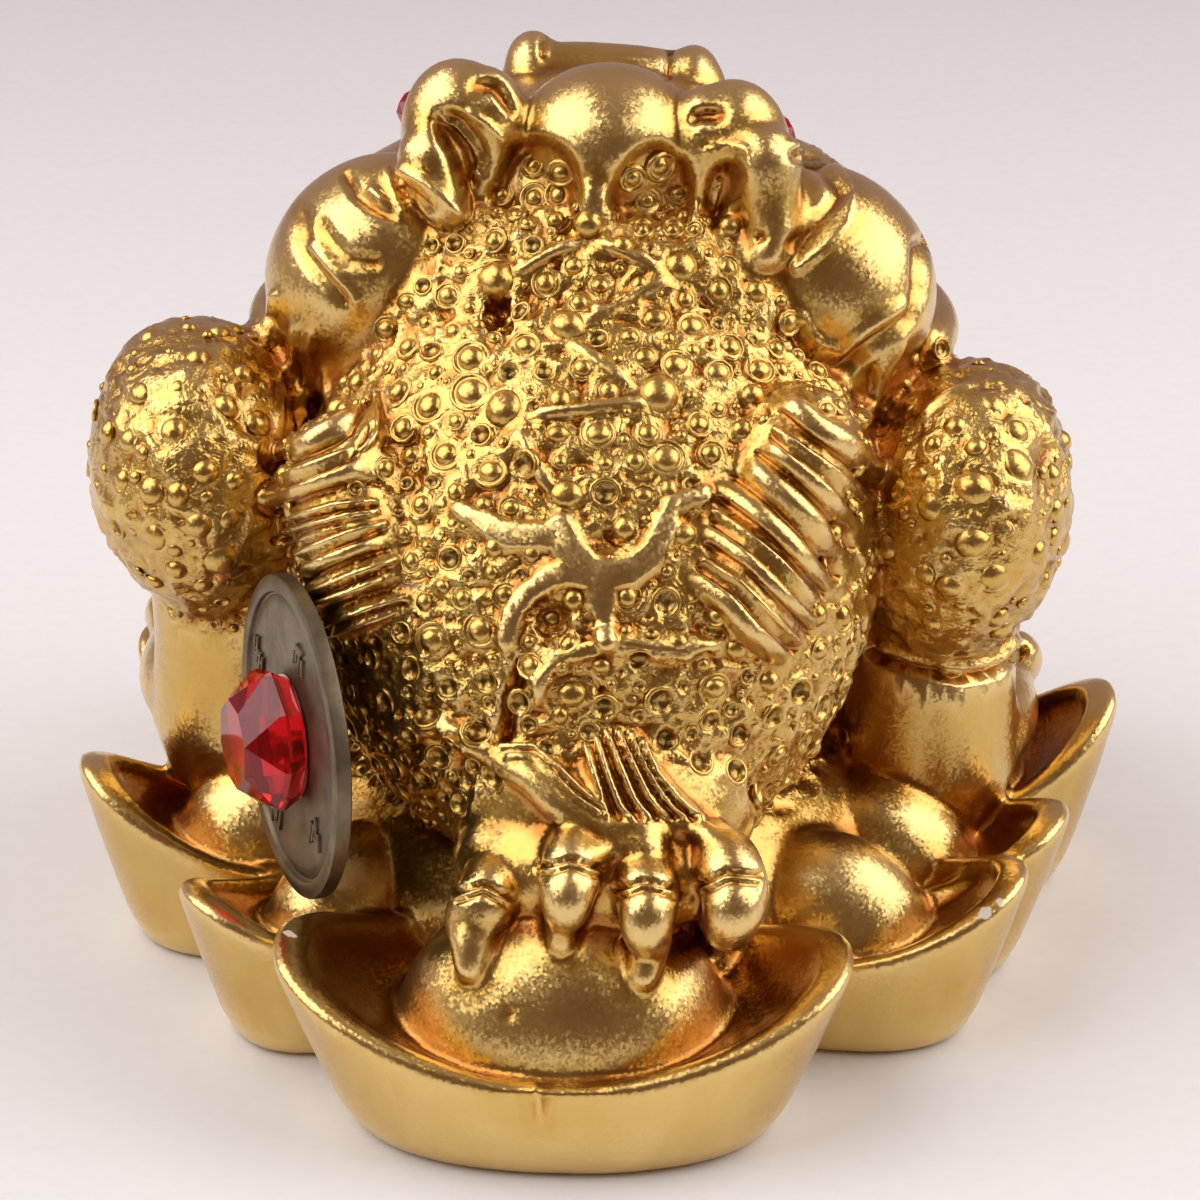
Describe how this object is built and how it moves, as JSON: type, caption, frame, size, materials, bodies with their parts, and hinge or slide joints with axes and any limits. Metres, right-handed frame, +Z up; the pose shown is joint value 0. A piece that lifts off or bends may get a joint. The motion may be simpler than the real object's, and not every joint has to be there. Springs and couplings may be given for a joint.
{
  "type": "money toad figure",
  "caption": "Gold-painted toad sitting on a bed of boat-shaped ingots, with knobbed carved back, coin stacks on its flanks and a gem-set coin leaning at its side.",
  "frame": {"origin": "on the flat underside of the ingot bed, under the middle of the toad", "axes": "+Z up, +Y the way the toad looks, +X the toad's right"},
  "size_m": [0.0795, 0.074, 0.068],
  "materials": {
    "gold_paint": "cast resin under fine metallic gold paint, semi-gloss, darker orange-brown in the hollows",
    "aged_coin": "grey-brown aged coin alloy, rim rubbed lighter",
    "red_glass": "clear red cut glass"
  },
  "bodies": {
    "root": {"toad_casting": "gold_paint", "coin": "aged_coin", "coin_gem": "red_glass", "left_eye_gem": "red_glass", "right_eye_gem": "red_glass"}
  },
  "joints": []
}
